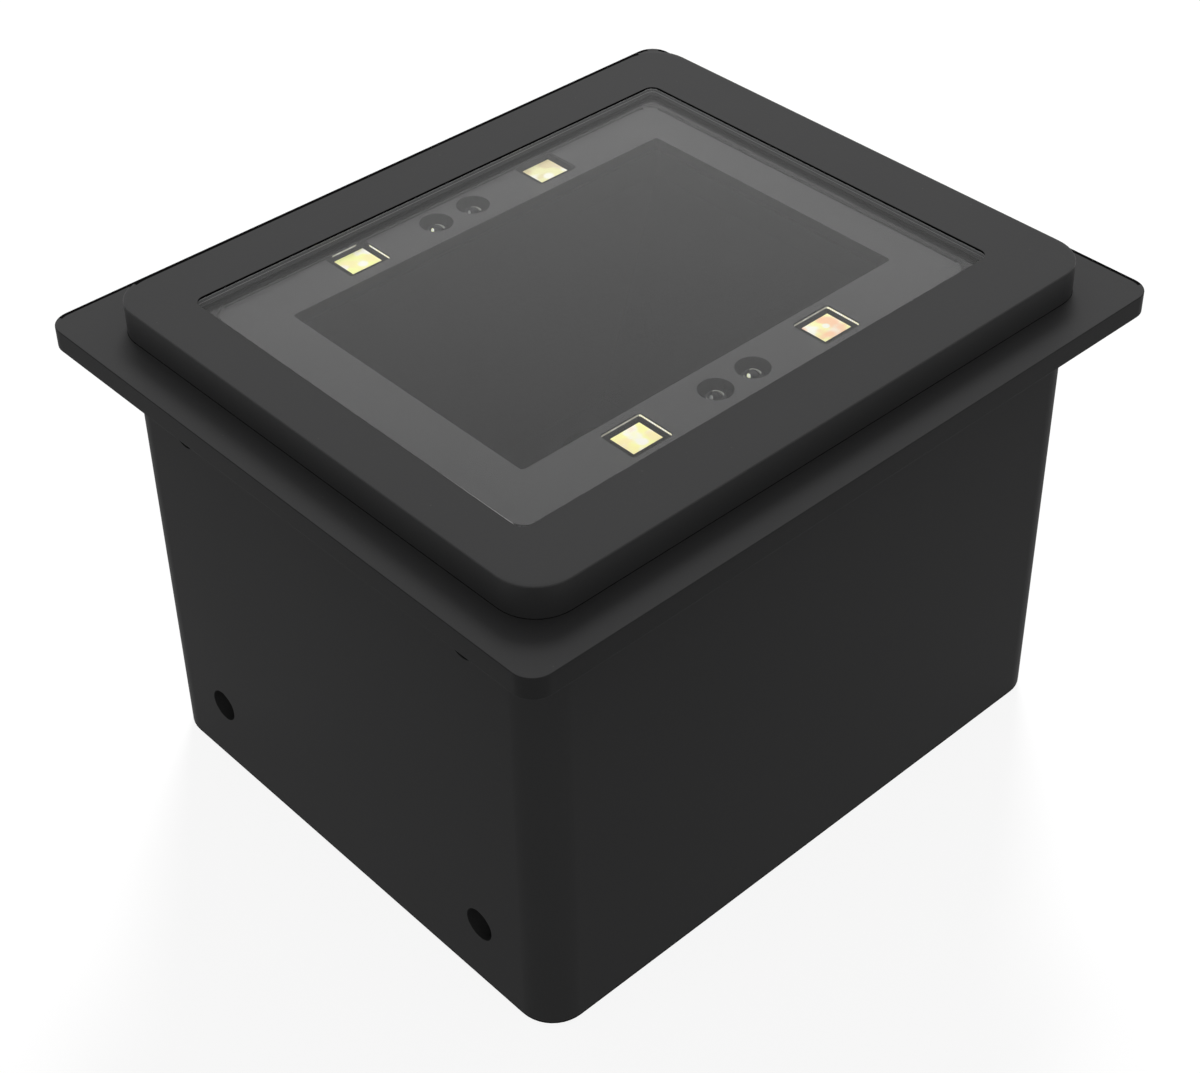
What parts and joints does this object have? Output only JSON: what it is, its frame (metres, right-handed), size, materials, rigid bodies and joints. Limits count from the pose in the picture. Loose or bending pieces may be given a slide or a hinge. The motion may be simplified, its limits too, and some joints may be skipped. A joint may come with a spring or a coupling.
{
  "type": "fixed barcode reader",
  "caption": "Panel-mounted fixed barcode reader: deep box body, overhanging front flange, raised bezel and glass window over a light mask, LEDs and camera.",
  "frame": {"origin": "middle of the rear face of the case, in its plane", "axes": "+X along the long side, +Y along the short side, +Z from the rear face to the window"},
  "size_m": [0.079, 0.0684, 0.0535],
  "materials": {
    "black_plastic": "fine moulded texture, matt",
    "shroud_black": "dead matt",
    "window_glass": "clear, polished",
    "black_rubber": "matt",
    "grey_mask": "satin",
    "led_phosphor": "silicone over phosphor",
    "led_lens": "clear epoxy",
    "circuit_board": "solder resist on glass-epoxy laminate",
    "chip_black": "moulded epoxy",
    "steel": "zinc plated",
    "anodised_black": "black anodised",
    "sensor_face": "polished cover glass over silicon",
    "connector_ivory": "moulded",
    "flex_amber": "polyimide film"
  },
  "bodies": {
    "root": {"front_frame": "black_plastic", "housing": "black_plastic", "rear_cover": "black_plastic", "light_shroud": "shroud_black", "led_collar_1": "shroud_black", "led_collar_2": "shroud_black", "led_collar_3": "shroud_black", "led_collar_4": "shroud_black", "lens_holder": "shroud_black", "window_glass": "window_glass", "front_lens": "window_glass", "window_gasket": "black_rubber", "rear_seal": "black_rubber", "light_mask": "grey_mask", "illumination_led_1": "led_phosphor", "illumination_led_2": "led_phosphor", "illumination_led_3": "led_phosphor", "illumination_led_4": "led_phosphor", "aiming_led_1": "led_lens", "aiming_led_2": "led_lens", "aiming_led_3": "led_lens", "aiming_led_4": "led_lens", "led_board": "circuit_board", "sensor_board": "circuit_board", "main_board": "circuit_board", "decoder_chip": "chip_black", "memory_chip": "chip_black", "beeper": "chip_black", "board_link": "chip_black", "cable_socket": "chip_black", "case_screw_1": "steel", "case_screw_2": "steel", "case_screw_3": "steel", "case_screw_4": "steel", "board_screw_1": "steel", "board_screw_2": "steel", "board_screw_3": "steel", "board_screw_4": "steel", "sensor_screw_1": "steel", "sensor_screw_2": "steel", "sensor_screw_3": "steel", "sensor_screw_4": "steel", "shroud_screw_1": "steel", "shroud_screw_2": "steel", "shroud_screw_3": "steel", "shroud_screw_4": "steel", "lens_barrel": "anodised_black", "image_sensor": "sensor_face", "flex_connector": "connector_ivory", "light_flex": "flex_amber"}
  },
  "joints": []
}
